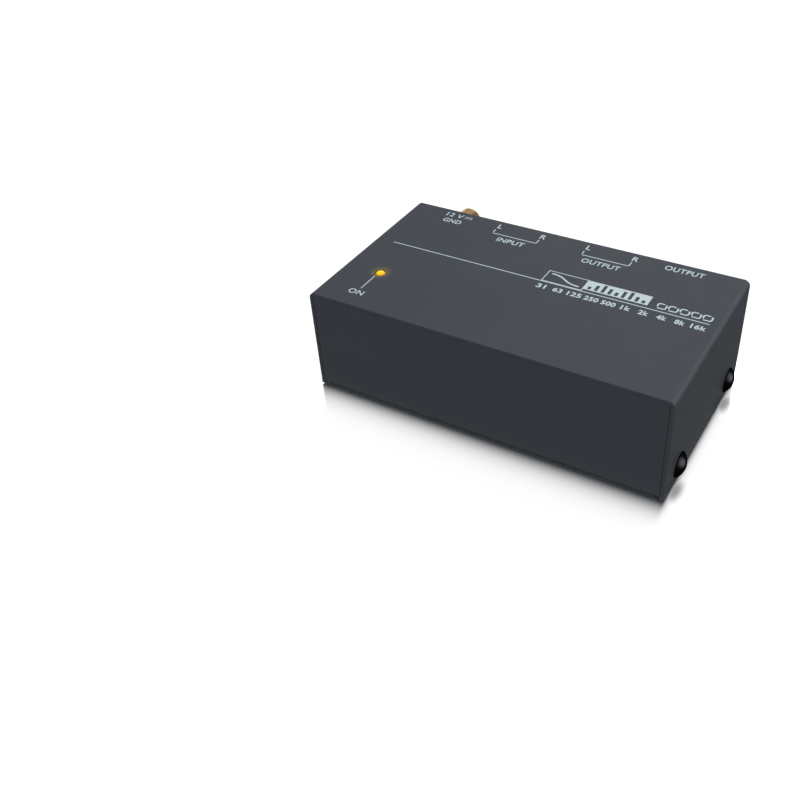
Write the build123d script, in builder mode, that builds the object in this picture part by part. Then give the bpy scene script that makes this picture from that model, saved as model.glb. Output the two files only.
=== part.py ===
from build123d import *
import os

# Compact phono preamplifier: a two-piece sheet-steel case round one circuit board, with phono sockets,
# a 6.35 mm stereo jack, a power jack and a ground terminal on its back.
# Millimetres. +X is to the right seen from the front, +Y to the back, +Z up. The origin is on the surface
# that the feet stand on, midway along everything that the device reaches over.

# ---- Case
case_width = 103.0
case_depth = 57.0
case_height = 31.0
sheet = 1.0  # steel sheet of both halves
bend_inner = 0.7  # inside radius of every bend
edge_break = 0.15  # rounding that the coating leaves on cut edges
cover_gap = 0.1  # between the cover and the front and back panels inside it
flange_gap = 0.1  # between the cover's skirts and the flanges inside them
flange_height = 8.5  # from the underside of the tray
flange_relief = 1.5  # between a flange's end and the nearest bend
collar_radius = 2.2  # drawn collar that carries a thread
collar_length = 1.2
foot_radius = 4.0
foot_height = 0.5
foot_rounding = 0.2
foot_inset = 9.5  # from the case's sides to the foot's centre

# ---- Fits
thread_gap = 0.03  # between a screw and the thread it sits in
press_gap = 0.02  # between pieces that are pressed together
hole_gap = 0.2  # round a screw that passes through
panel_gap = 0.1  # round a connector in its cut-out
turning_gap = 0.05  # round the ground screw, which turns
tail_gap = 0.25  # round a soldered tail in the board

# ---- Screws
m3_radius = 1.5
tip_chamfer = 0.4
truss_radius = 3.5
truss_height = 1.9
truss_length = 5.0
truss_cross = 2.7  # span of the cross recess
pan_radius = 2.8
pan_height = 1.7
pan_cross = 3.0
cross_slot = 0.7
cross_taper = 0.45  # bottom of a cross recess, as a share of its top
cross_depth = 1.1
rim_height = 0.35  # upright edge below a head's dome
jack_screw_radius = 1.45
jack_screw_length = 8.0
board_screw_length = 5.0
screw_height = 4.0  # cover screws above the underside of the tray
screw_from_front = 10.1
screw_from_back = 8.8

# ---- Board
standoff_height = 4.7
standoff_flats = 5.0
standoff_inset = 4.0  # front pair, from the board's edges
inner_standoff_x = 22.0  # second pair, from the middle
inner_standoff_y = 32.0  # second pair, from the board's front edge
board_thickness = 1.6
board_side_gap = 6.5  # from the outside of the case
board_front_gap = 6.0
board_rear_gap = 0.5  # from the inside of the back panel
tail_reach = 1.0  # how far tails stand out below the board
lead_radius = 0.3
lead_hole_gap = 0.15

# ---- Connector height
axis_rise = 6.5  # socket axes above the board

# ---- Phono sockets
socket_pitch = 14.0
first_socket_x = 19.0
shell_radius = 4.15
shell_wall = 0.55
shell_reach = 9.4  # from the back panel's face
shell_seat = 5.0  # length held in the block
shell_step = 0.2  # the seated length is this much thinner
shell_stand = 0.1  # from the block's boss to the step
shell_chamfer = 0.25
shell_tail_depth = 2.5  # behind the back panel
insulator_recess = 0.35
insulator_chamfer = 0.3
contact_recess = 0.3  # behind the insulator's face
contact_radius = 2.1
contact_bore = 1.65
contact_depth = 8.0  # of the bore that grips a plug's pin
contact_overhang = 1.0  # behind the block
tail_width = 1.5
tail_thickness = 0.5
boss_radius = 5.4
boss_proud = 0.4
block_side = 6.5  # from the outer socket axes
block_height = 12.5
block_depth = 10.5
ear_rise = 7.1  # ear screw above the socket axes
ear_radius = 3.6
ear_depth = 5.0

# ---- Stereo jack
stereo_x = 34.0
stereo_width = 15.0
stereo_height = 13.0
stereo_depth = 30.0
nose_proud = 0.6
sleeve_radius = 4.7
sleeve_bore = 3.25
sleeve_proud = 0.9
sleeve_seat = 8.0
sleeve_chamfer = 0.3
throat_radius = 3.45
throat_depth = 28.0  # behind the back panel
leaf_thickness = 0.4
leaf_height = 3.0
leaf_offset = 4.7  # root of a contact leaf from the jack's axis
leaf_arm = 9.0  # root to crest
leaf_crest = 2.75  # crest from the jack's axis, inside a plug's radius
leaf_tip = 2.6  # past the crest
leaf_bend = 0.5
leaf_pocket = 6.6  # outer wall of a pocket from the jack's axis
leaf_side_gap = 0.3
ring_root_depth = 11.0  # behind the back panel
tip_root_depth = 18.0

# ---- Power jack
power_x = -37.3
power_width = 9.0
power_height = 11.0
power_depth = 14.0
power_collar = 3.4  # length of the square front
power_shoulder = 8.2  # height at which the round back of the jack begins to close
power_proud = 0.1
power_bore = 3.15
power_bore_depth = 9.5
pin_radius = 1.05
pin_step = 0.35  # the seated length is this much thinner
pin_stand = 0.1  # from the bore's end to the step
pin_recess = 0.8
pin_chamfer = 0.3
spring_width = 2.6
spring_slot = 3.2
spring_floor = 0.6  # plastic left under the spring's slot
spring_root_y = 12.2  # from the jack's face
spring_root_rise = 1.5  # above the board
spring_crest_y = 6.3
spring_crest_drop = 2.45  # below the jack's axis, inside a plug's radius
spring_crest_half = 0.4
spring_tip_y = 3.7
spring_tip_flat = 0.9
spring_tip_rise = 2.4
slot_front = 2.2
slot_back = 13.0
switch_y = 3.1
switch_hook = 1.15
switch_rise = 0.1  # gap between the hook and the resting spring

# ---- Ground terminal
ground_below_middle = 0.15  # below the middle of the space from the power jack to the case's top
ground_washer_radius = 3.3
ground_washer_thickness = 0.8
ground_neck_radius = 2.4
ground_neck_length = 1.4
ground_head_radius = 3.7
ground_head_length = 5.8
ground_head_chamfer = 0.45
knurl_count = 36
knurl_depth = 0.22
nut_flats = 5.5
nut_thickness = 2.4
ground_tip_reach = 1.5  # past the nut
lug_radius = 3.0
lug_thickness = 0.5
lug_width = 1.9
lug_foot = 3.0

# ---- Power light
led_from_left = 12.1
led_from_front = 17.2
led_radius = 1.5
led_hole_gap = 0.15
led_flange_radius = 1.9
led_flange_height = 1.0
led_height = 5.3
led_proud = 0.4
led_pitch = 2.54
led_lead_side = 0.45
spacer_radius = 2.5
spacer_bore = 1.75

# ---- Parts on the board, placed from its middle
dip_length = 9.4
dip_width = 6.4
dip_height = 3.4
dip_standing = 0.5
dip_pitch = 2.54
dip_row = 7.62
dip_pin_width = 0.5
dip_notch_radius = 0.8
dip_notch_depth = 0.4
op_amps = {"op_amp_left": (-12.0, 1.0), "op_amp_right": (8.0, 1.0)}
large_can = (4.0, 11.5, 3.5)  # radius, height and lead pitch
small_can = (3.15, 11.0, 2.5)
supply_at = (-27.0, 0.0)
filter_at = (-27.0, -10.0)
output_can_xs = (20.5, 29.0)
output_can_gap = 0.6  # between the stereo jack and the cans in front of it
can_crimp = 0.3  # depth of the crimped ring, and half its width
can_crimp_rise = 1.2
film_length = 7.2
film_width = 2.5
film_height = 6.5
film_pitch = 5.08
film_y = -7.5
film_xs = (-16.0, -11.0, -6.0, 2.0, 7.0, 12.0)
resistor_radius = 0.95
resistor_length = 4.0
resistor_pitch = 7.62
resistor_y = -17.0
resistor_xs = (-20.0, -15.0, -10.0, -5.0, 0.0, 5.0, 10.0, 15.0)
regulator_at = (-36.0, -1.0)
regulator_radius = 2.3
regulator_flat = 1.3
regulator_height = 4.6
regulator_standing = 2.0
regulator_pitch = 1.27
diode_at = (-35.0, 7.5)
diode_radius = 1.35
diode_length = 5.2
diode_pitch = 7.62

# ---- Worked out from the sizes above
bend_outer = bend_inner + sheet
case_side = case_width / 2
front_face = -(case_depth + shell_reach) / 2
back_face = front_face + case_depth
back_inner = back_face - sheet
case_floor = foot_height
floor_top = case_floor + sheet
case_top = case_floor + case_height
panel_half = case_side - sheet - cover_gap
panel_top = case_top - sheet - cover_gap
flange_outer = case_side - sheet - flange_gap
floor_half = flange_outer - bend_outer
screw_z = case_floor + screw_height
screw_ys = (front_face + screw_from_front, back_face - screw_from_back)
board_low = floor_top + standoff_height
board_top = board_low + board_thickness
board_half = case_side - board_side_gap
board_rear = back_inner - board_rear_gap
board_front = front_face + board_front_gap
board_mid_y = (board_front + board_rear) / 2
tail_end = board_low - tail_reach
axis_z = board_top + axis_rise
ground_z = (board_top + power_height + case_top) / 2 - ground_below_middle
socket_xs = [first_socket_x - i * socket_pitch for i in range(4)]
socket_names = ["output_right", "output_left", "input_right", "input_left"]
block_xs = {"output": sum(socket_xs[:2]) / 2, "input": sum(socket_xs[2:]) / 2}
block_half = socket_pitch / 2 + block_side
shell_end = back_face + shell_reach
shell_root = back_inner - shell_seat
seat_radius = shell_radius - shell_step
step_y = back_face + boss_proud + shell_stand
block_rear = back_inner - block_depth
insulator_face = shell_end - insulator_recess
contact_face = insulator_face - contact_recess
contact_rear = block_rear - contact_overhang
output_can_y = back_inner - stereo_depth - output_can_gap - small_can[0]
cans = {
    "supply_capacitor": (supply_at[0], board_mid_y + supply_at[1], *large_can),
    "filter_capacitor": (filter_at[0], board_mid_y + filter_at[1], *small_can),
    "output_capacitor_left": (output_can_xs[0], output_can_y, *small_can),
    "output_capacitor_right": (output_can_xs[1], output_can_y, *small_can),
}
led_x = -case_side + led_from_left
led_y = front_face + led_from_front
led_top = case_top + led_proud
led_low = led_top - led_height
lead_hole = lead_radius + lead_hole_gap
standoff_points = [
    (sx * (board_half - standoff_inset), board_front + standoff_inset) for sx in (-1, 1)
] + [(sx * inner_standoff_x, board_front + inner_standoff_y) for sx in (-1, 1)]

os.makedirs("parts", exist_ok=True)


def write(part, name):
    """Label a finished piece and write it under its name."""
    part.label = name
    export_step(part, f"parts/{name}.step")


def block(x, y, z, mode=Mode.ADD):
    """A box between two values of x, of y and of z, in the part being built."""
    with Locations((sum(x) / 2, sum(y) / 2, sum(z) / 2)):
        Box(abs(x[1] - x[0]), abs(y[1] - y[0]), abs(z[1] - z[0]), mode=mode)


def bar(axis, radius, ends, at, mode=Mode.ADD):
    """A round bar or hole along an axis, at the two other coordinates in the order X, Y, Z."""
    middle = sum(ends) / 2
    turn = {"x": (0, 90, 0), "y": (90, 0, 0), "z": (0, 0, 0)}[axis]
    centre = {"x": (middle, *at), "y": (at[0], middle, at[1]), "z": (*at, middle)}[axis]
    with Locations(centre):
        Cylinder(radius, abs(ends[1] - ends[0]), rotation=turn, mode=mode)


def turned(x, z, outline, mode=Mode.ADD):
    """A turned piece about an axis along Y: the outline gives radius and y."""
    with BuildSketch(Plane.XY.move(Location((x, 0, z)))) as half:
        with BuildLine():
            Polyline(*outline, close=True)
        make_face()
    revolve(half.sketch, axis=Axis((x, 0, z), (0, 1, 0)), mode=mode)


def channel(plane, sides, web, tips):
    """U-shaped section of bent sheet: both legs run from the web to the tips."""
    low, high = sides
    inward = sheet if tips > web else -sheet
    with BuildSketch(plane) as section:
        with BuildLine():
            FilletPolyline((low, tips), (low, web), (high, web), (high, tips), radius=bend_outer)
            Line((high, tips), (low, tips))
        make_face()
        with BuildLine():
            FilletPolyline(
                (low + sheet, tips),
                (low + sheet, web + inward),
                (high - sheet, web + inward),
                (high - sheet, tips),
                radius=bend_inner,
            )
            Line((high - sheet, tips), (low + sheet, tips))
        make_face(mode=Mode.SUBTRACT)
    return section.sketch


def strip(plane, points, thickness, bend):
    """Edge view of a bent strip of sheet that follows the points along its middle."""
    with BuildSketch(plane) as section:
        with BuildLine():
            FilletPolyline(*points, radius=bend)
        trace(line_width=thickness)
    return section.sketch


def cross(height, span, slot):
    """Cross-shaped face at a height."""
    with BuildSketch(Plane.XY.offset(height)) as face:
        Rectangle(span, slot)
        Rectangle(slot, span)
    return face.sketch.face()


def screw(head_radius, head_height, shank_radius, length, span):
    """Domed cross-head screw that points down from a head standing on z = 0."""
    with BuildPart() as piece:
        with BuildSketch(Plane.XZ):
            with BuildLine():
                Polyline(
                    (head_radius, rim_height),
                    (head_radius, 0),
                    (shank_radius, 0),
                    (shank_radius, tip_chamfer - length),
                    (shank_radius - tip_chamfer, -length),
                    (0, -length),
                    (0, head_height),
                )
                TangentArc((0, head_height), (head_radius, rim_height), tangent=(1, 0))
            make_face()
        revolve(axis=Axis.Z)
        loft(
            [
                cross(head_height, span, cross_slot),
                cross(head_height - cross_depth, span * cross_taper, cross_slot * cross_taper),
            ],
            mode=Mode.SUBTRACT,
        )
    return piece.part


# ---- Case
with BuildPart() as base_tray:
    # The front panel, the floor and the back panel are one bent channel that fits inside the cover.
    across = Plane.YZ.offset(-panel_half)
    extrude(channel(across, (front_face, back_face), case_floor, panel_top), amount=2 * panel_half)
    fillet(base_tray.edges().filter_by(Axis.Y).group_by(Axis.Z)[-1], radius=bend_inner)
    # The coating rounds the cut edges all the way along the channel's two ends.
    fillet(base_tray.edges().filter_by(Axis.X).group_by(Axis.Z)[-1], radius=edge_break)
    for side in (-1, 1):
        # Between the bends the floor is narrower, and a flange stands up inside each skirt of the cover.
        block(
            (side * floor_half, side * (case_side + sheet)),
            (front_face + bend_outer, back_face - bend_outer),
            (case_floor - sheet, floor_top + bend_inner),
            mode=Mode.SUBTRACT,
        )
        flange_front = front_face + bend_outer + flange_relief
        flange_back = back_face - bend_outer - flange_relief
        wall_x = flange_outer - sheet / 2
        extrude(
            strip(
                Plane.XZ.offset(-flange_back),
                [
                    (side * (floor_half - sheet), case_floor + sheet / 2),
                    (side * wall_x, case_floor + sheet / 2),
                    (side * wall_x, case_floor + flange_height),
                ],
                sheet,
                bend_inner + sheet / 2,
            ),
            amount=flange_back - flange_front,
        )
        for y in screw_ys:
            inner = flange_outer - sheet
            bar("x", collar_radius, (side * (inner - collar_length), side * inner), (y, screw_z))
            bar(
                "x",
                m3_radius + thread_gap,
                (side * (inner - 2 * collar_length), side * case_side),
                (y, screw_z),
                mode=Mode.SUBTRACT,
            )
    panel = (back_inner - sheet, back_face + sheet)
    for x in socket_xs + [stereo_x]:
        bar("y", boss_radius + panel_gap, panel, (x, axis_z), mode=Mode.SUBTRACT)
    for x in block_xs.values():
        bar("y", jack_screw_radius + hole_gap, panel, (x, axis_z + ear_rise), mode=Mode.SUBTRACT)
    bar("y", m3_radius + hole_gap, panel, (power_x, ground_z), mode=Mode.SUBTRACT)
    block(
        (power_x - power_width / 2 - panel_gap, power_x + power_width / 2 + panel_gap),
        panel,
        (board_top - panel_gap, board_top + power_height + panel_gap),
        mode=Mode.SUBTRACT,
    )
write(base_tray.part, "base_tray")

with BuildPart() as top_cover:
    # The cover wraps the top and both sides, and its edges lie flush with the front and back panels.
    along = Plane.XZ.offset(-back_face)
    extrude(channel(along, (-case_side, case_side), case_top, case_floor), amount=case_depth)
    fillet(top_cover.edges().filter_by(Axis.X).group_by(Axis.Z)[-1], radius=edge_break)
    for y in screw_ys:
        bar("x", m3_radius + hole_gap, (-case_width, case_width), (y, screw_z), mode=Mode.SUBTRACT)
    led_span = (case_top - 2 * sheet, case_top + sheet)
    bar("z", led_radius + led_hole_gap, led_span, (led_x, led_y), mode=Mode.SUBTRACT)
write(top_cover.part, "top_cover")

with BuildPart() as cover_screws:
    truss = screw(truss_radius, truss_height, m3_radius, truss_length, truss_cross)
    for side in (-1, 1):
        for y in screw_ys:
            with Locations(Plane(origin=(side * case_side, y, screw_z), z_dir=(side, 0, 0))):
                add(truss)
write(cover_screws.part, "cover_screws")

for side_name, side in (("left", -1), ("right", 1)):
    for end_name, y in (("front", front_face + foot_inset), ("rear", back_face - foot_inset)):
        with BuildPart() as foot:
            with BuildSketch():
                with Locations((side * (case_side - foot_inset), y)):
                    Circle(foot_radius)
            extrude(amount=foot_height)
            fillet(foot.edges().sort_by(Axis.Z)[0], radius=foot_rounding)
        write(foot.part, f"foot_{end_name}_{side_name}")

# ---- Board and what holds it
tail_half = tail_thickness / 2
socket_tail_ys = (back_inner - shell_tail_depth, contact_rear + tail_half)
sleeve_tail_y = back_inner - sleeve_seat / 2
leaf_roots = {
    "tip": (stereo_x + leaf_offset, tip_root_depth),
    "ring": (stereo_x - leaf_offset, ring_root_depth),
}
power_face = back_face + power_proud
power_rear = power_face - power_depth
wide_tails = (
    [(x, y) for x in socket_xs for y in socket_tail_ys]
    + [(stereo_x, sleeve_tail_y)]
    + [(x, back_inner - depth) for x, depth in leaf_roots.values()]
    + [(power_x, y) for y in (power_face - switch_y, power_face - spring_root_y, power_rear - tail_half)]
)
leads = [(led_x + s * led_pitch / 2, led_y) for s in (-1, 1)]
leads += [(x + s * pitch / 2, y) for x, y, _, _, pitch in cans.values() for s in (-1, 1)]
leads += [(x, board_mid_y + film_y + s * film_pitch / 2) for x in film_xs for s in (-1, 1)]
leads += [(x, board_mid_y + resistor_y + s * resistor_pitch / 2) for x in resistor_xs for s in (-1, 1)]
leads += [(diode_at[0] + s * diode_pitch / 2, board_mid_y + diode_at[1]) for s in (-1, 1)]
leads += [(regulator_at[0] + s * regulator_pitch, board_mid_y + regulator_at[1]) for s in (-1, 0, 1)]
leads += [
    (x + (i - 1.5) * dip_pitch, board_mid_y + y + s * dip_row / 2)
    for x, y in op_amps.values()
    for i in range(4)
    for s in (-1, 1)
]

with BuildPart() as circuit_board:
    with BuildSketch(Plane.XY.offset(board_low)):
        with Locations((0, board_mid_y)):
            Rectangle(2 * board_half, board_rear - board_front)
        with Locations(*standoff_points):
            Circle(m3_radius + hole_gap, mode=Mode.SUBTRACT)
        with Locations(*wide_tails):
            Circle(tail_width / 2 + tail_gap, mode=Mode.SUBTRACT)
        with Locations(*leads):
            Circle(lead_hole, mode=Mode.SUBTRACT)
    extrude(amount=board_thickness)
write(circuit_board.part, "circuit_board")

with BuildPart() as board_standoffs:
    with BuildSketch(Plane.XY.offset(floor_top)):
        with Locations(*standoff_points):
            RegularPolygon(standoff_flats / 2, 6, major_radius=False)
            Circle(m3_radius + thread_gap, mode=Mode.SUBTRACT)
    extrude(amount=standoff_height)
write(board_standoffs.part, "board_standoffs")

with BuildPart() as board_screws:
    pan = screw(pan_radius, pan_height, m3_radius, board_screw_length, pan_cross)
    with Locations(*[(x, y, board_top) for x, y in standoff_points]):
        add(pan)
write(board_screws.part, "board_screws")

# ---- Phono sockets
for name, middle in block_xs.items():
    with BuildPart() as jack_block:
        block(
            (middle - block_half, middle + block_half),
            (block_rear, back_inner),
            (board_top, board_top + block_height),
        )
        screw_at = (middle, axis_z + ear_rise)
        bar("y", ear_radius, (back_inner - ear_depth, back_inner), screw_at)
        block(
            (middle - ear_radius, middle + ear_radius),
            (back_inner - ear_depth, back_inner),
            (board_top + block_height / 2, axis_z + ear_rise),
        )
        screw_hole = (back_inner - jack_screw_length, back_inner)
        hole_radius = jack_screw_radius + thread_gap
        bar("y", hole_radius, screw_hole, screw_at, mode=Mode.SUBTRACT)
        for x in (middle - socket_pitch / 2, middle + socket_pitch / 2):
            bar("y", boss_radius, (back_inner - sheet, back_face + boss_proud), (x, axis_z))
            seat = (shell_root, back_face + boss_proud)
            bar("y", seat_radius + press_gap, seat, (x, axis_z), mode=Mode.SUBTRACT)
            through = (block_rear, back_inner)
            bar("y", contact_radius + press_gap, through, (x, axis_z), mode=Mode.SUBTRACT)
            # The shell's tail leaves through a slot below its seat.
            slot_half = tail_width / 2 + tail_gap
            block(
                (x - slot_half, x + slot_half),
                (socket_tail_ys[0] - slot_half, socket_tail_ys[0] + slot_half),
                (board_top, axis_z),
                mode=Mode.SUBTRACT,
            )
    write(jack_block.part, f"{name}_jack_block")

for name, x in zip(socket_names, socket_xs):
    with BuildPart() as shell:
        bore = shell_radius - shell_wall
        turned(
            x,
            axis_z,
            [
                (bore, shell_root),
                (seat_radius, shell_root),
                (seat_radius, step_y),
                (shell_radius, step_y),
                (shell_radius, shell_end - shell_chamfer),
                (shell_radius - shell_chamfer, shell_end),
                (bore, shell_end),
            ],
        )
        block(
            (x - tail_width / 2, x + tail_width / 2),
            (socket_tail_ys[0] - tail_half, socket_tail_ys[0] + tail_half),
            (tail_end, axis_z - (seat_radius + bore) / 2),
        )
    write(shell.part, f"{name}_shell")

    with BuildPart() as insulator:
        outer = shell_radius - shell_wall - press_gap
        inner = contact_radius + press_gap
        turned(
            x,
            axis_z,
            [
                (inner, shell_root),
                (outer, shell_root),
                (outer, insulator_face),
                (inner + insulator_chamfer, insulator_face),
                (inner, insulator_face - insulator_chamfer),
            ],
        )
    write(insulator.part, f"{name}_insulator")

    with BuildPart() as contact:
        bore_end = contact_face - contact_depth
        turned(
            x,
            axis_z,
            [
                (0, contact_rear),
                (contact_radius, contact_rear),
                (contact_radius, contact_face),
                (contact_bore, contact_face),
                (contact_bore, bore_end),
                (0, bore_end),
            ],
        )
        block(
            (x - tail_width / 2, x + tail_width / 2),
            (contact_rear, contact_rear + tail_thickness),
            (tail_end, axis_z),
        )
    write(contact.part, f"{name}_contact")

with BuildPart() as jack_screws:
    pan = screw(pan_radius, pan_height, jack_screw_radius, jack_screw_length, pan_cross)
    for x in block_xs.values():
        with Locations(Plane(origin=(x, back_face, axis_z + ear_rise), z_dir=(0, 1, 0))):
            add(pan)
write(jack_screws.part, "jack_screws")

# ---- Stereo jack
with BuildPart() as stereo_jack_body:
    block(
        (stereo_x - stereo_width / 2, stereo_x + stereo_width / 2),
        (back_inner - stereo_depth, back_inner),
        (board_top, board_top + stereo_height),
    )
    fillet(
        stereo_jack_body.edges().filter_by(Axis.Y).group_by(Axis.Z)[-1],
        radius=bend_outer,
    )
    bar("y", boss_radius, (back_inner - sheet, back_face + nose_proud), (stereo_x, axis_z))
    throat = (back_inner - throat_depth, back_face + nose_proud)
    bar("y", throat_radius, throat, (stereo_x, axis_z), mode=Mode.SUBTRACT)
    seat = (back_inner - sleeve_seat, back_face + nose_proud)
    bar("y", sleeve_radius + press_gap, seat, (stereo_x, axis_z), mode=Mode.SUBTRACT)
    slot_half = tail_width / 2 + tail_gap
    block(
        (stereo_x - slot_half, stereo_x + slot_half),
        (sleeve_tail_y - slot_half, sleeve_tail_y + slot_half),
        (board_top, axis_z),
        mode=Mode.SUBTRACT,
    )
    for x, depth in leaf_roots.values():
        away = 1 if x > stereo_x else -1
        root_y = back_inner - depth
        block(
            (stereo_x, stereo_x + away * leaf_pocket),
            (root_y + slot_half, root_y - leaf_arm - leaf_tip - leaf_side_gap),
            (axis_z - leaf_height / 2 - leaf_side_gap, axis_z + leaf_height / 2 + leaf_side_gap),
            mode=Mode.SUBTRACT,
        )
        bar("z", slot_half, (board_top, axis_z), (x, root_y), mode=Mode.SUBTRACT)
write(stereo_jack_body.part, "stereo_jack_body")

with BuildPart() as stereo_jack_sleeve:
    sleeve_end = back_face + sleeve_proud
    turned(
        stereo_x,
        axis_z,
        [
            (sleeve_bore, back_inner - sleeve_seat),
            (sleeve_radius, back_inner - sleeve_seat),
            (sleeve_radius, sleeve_end - sleeve_chamfer),
            (sleeve_radius - sleeve_chamfer, sleeve_end),
            (sleeve_bore + sleeve_chamfer, sleeve_end),
            (sleeve_bore, sleeve_end - sleeve_chamfer),
        ],
    )
    block(
        (stereo_x - tail_width / 2, stereo_x + tail_width / 2),
        (sleeve_tail_y - tail_half, sleeve_tail_y + tail_half),
        (tail_end, axis_z - (sleeve_radius + sleeve_bore) / 2),
    )
write(stereo_jack_sleeve.part, "stereo_jack_sleeve")

for name, (x, depth) in leaf_roots.items():
    away = 1 if x > stereo_x else -1
    root_y = back_inner - depth
    with BuildPart() as leaf:
        path = [
            (x, root_y + leaf_thickness),
            (x, root_y - leaf_arm / 2),
            (stereo_x + away * leaf_crest, root_y - leaf_arm),
            (x, root_y - leaf_arm - leaf_tip),
        ]
        extrude(
            strip(Plane.XY.offset(axis_z), path, leaf_thickness, leaf_bend),
            amount=leaf_height / 2,
            both=True,
        )
        block(
            (x - leaf_thickness / 2, x + leaf_thickness / 2),
            (root_y - leaf_thickness, root_y + leaf_thickness),
            (tail_end, axis_z),
        )
    write(leaf.part, f"stereo_jack_{name}_spring")

# ---- Power jack
with BuildPart() as power_jack_body:
    left = power_x - power_width / 2
    right = power_x + power_width / 2
    block((left, right), (power_face - power_collar, power_face), (board_top, board_top + power_height))
    with BuildSketch(Plane.XZ.offset(-(power_face - power_collar))):
        with BuildLine():
            Polyline(
                (right, board_top + power_shoulder),
                (right, board_top),
                (left, board_top),
                (left, board_top + power_shoulder),
            )
            ThreePointArc(
                (left, board_top + power_shoulder),
                (power_x, board_top + power_height),
                (right, board_top + power_shoulder),
            )
        make_face()
    extrude(amount=power_depth - power_collar)
    socket = (power_face - power_bore_depth, power_face)
    bar("y", power_bore, socket, (power_x, axis_z), mode=Mode.SUBTRACT)
    pin_seat = pin_radius - pin_step
    bar("y", pin_seat + press_gap, (power_rear, power_face), (power_x, axis_z), mode=Mode.SUBTRACT)
    block(
        (power_x - spring_slot / 2, power_x + spring_slot / 2),
        (power_face - slot_back, power_face - slot_front),
        (board_top + spring_floor, axis_z - power_bore / 2),
        mode=Mode.SUBTRACT,
    )
    for y in (power_face - switch_y, power_face - spring_root_y):
        bar(
            "z",
            tail_width / 2 + tail_gap,
            (board_top, board_top + spring_root_rise),
            (power_x, y),
            mode=Mode.SUBTRACT,
        )
write(power_jack_body.part, "power_jack_body")

with BuildPart() as power_jack_pin:
    pin_tip = power_face - pin_recess
    turned(
        power_x,
        axis_z,
        [
            (0, power_rear - tail_thickness),
            (pin_seat, power_rear - tail_thickness),
            (pin_seat, power_face - power_bore_depth + pin_stand),
            (pin_radius, power_face - power_bore_depth + pin_stand),
            (pin_radius, pin_tip - pin_chamfer),
            (pin_radius - pin_chamfer, pin_tip),
            (0, pin_tip),
        ],
    )
    block(
        (power_x - tail_width / 2, power_x + tail_width / 2),
        (power_rear - tail_thickness, power_rear),
        (tail_end, axis_z + tail_width / 2),
    )
write(power_jack_pin.part, "power_jack_pin")

spring_root = (power_face - spring_root_y, board_top + spring_root_rise)
crest_z = axis_z - spring_crest_drop - leaf_thickness / 2
with BuildPart() as power_jack_spring:
    path = [
        (spring_root[0] - leaf_thickness / 2, spring_root[1]),
        (power_face - spring_crest_y - spring_crest_half, crest_z),
        (power_face - spring_crest_y + spring_crest_half, crest_z),
        (power_face - spring_tip_y - spring_tip_flat, board_top + spring_tip_rise),
        (power_face - spring_tip_y, board_top + spring_tip_rise),
    ]
    extrude(
        strip(Plane.YZ.offset(power_x), path, leaf_thickness, leaf_bend),
        amount=spring_width / 2,
        both=True,
    )
    block(
        (power_x - tail_width / 2, power_x + tail_width / 2),
        (spring_root[0] - leaf_thickness / 2, spring_root[0] + leaf_thickness / 2),
        (tail_end, spring_root[1]),
    )
write(power_jack_spring.part, "power_jack_spring")

with BuildPart() as power_jack_switch:
    hook_low = board_top + spring_tip_rise + leaf_thickness / 2 + switch_rise
    switch_front = power_face - switch_y + leaf_thickness / 2
    block(
        (power_x - tail_width / 2, power_x + tail_width / 2),
        (switch_front - leaf_thickness, switch_front),
        (tail_end, hook_low + leaf_thickness),
    )
    block(
        (power_x - tail_width / 2, power_x + tail_width / 2),
        (switch_front - leaf_thickness - switch_hook, switch_front),
        (hook_low, hook_low + leaf_thickness),
    )
write(power_jack_switch.part, "power_jack_switch")

# ---- Ground terminal
washer_face = back_face + ground_washer_thickness
neck_end = washer_face + ground_neck_length
head_end = neck_end + ground_head_length
nut_inner = back_inner - lug_thickness - nut_thickness
with BuildPart() as ground_screw:
    tip = nut_inner - ground_tip_reach
    turned(
        power_x,
        ground_z,
        [
            (0, tip),
            (m3_radius - tip_chamfer, tip),
            (m3_radius, tip + tip_chamfer),
            (m3_radius, washer_face),
            (ground_neck_radius, washer_face),
            (ground_neck_radius, neck_end),
            (ground_head_radius - ground_head_chamfer, neck_end),
            (ground_head_radius, neck_end + ground_head_chamfer),
            (ground_head_radius, head_end - ground_head_chamfer),
            (ground_head_radius - ground_head_chamfer, head_end),
            (0, head_end),
        ],
    )
    # Straight knurl: a ring of V grooves along the head, each cut by the corner of a square.
    groove_side = knurl_depth * 2**0.5
    with BuildSketch(Plane.XZ.offset(-head_end)) as grooves:
        with Locations((power_x, ground_z)):
            with PolarLocations(ground_head_radius, knurl_count):
                Rectangle(groove_side, groove_side, rotation=45)
    extrude(grooves.sketch, amount=ground_head_length, mode=Mode.SUBTRACT)
write(ground_screw.part, "ground_screw")

with BuildPart() as ground_washer:
    turned(
        power_x,
        ground_z,
        [
            (m3_radius + turning_gap, back_face),
            (ground_washer_radius, back_face),
            (ground_washer_radius, washer_face),
            (m3_radius + turning_gap, washer_face),
        ],
    )
write(ground_washer.part, "ground_washer")

with BuildPart() as ground_nut:
    with BuildSketch(Plane.XZ.offset(-(back_inner - lug_thickness))):
        with Locations((power_x, ground_z)):
            RegularPolygon(nut_flats / 2, 6, major_radius=False)
            Circle(m3_radius + turning_gap, mode=Mode.SUBTRACT)
    extrude(amount=nut_thickness)
write(ground_nut.part, "ground_nut")

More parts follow.
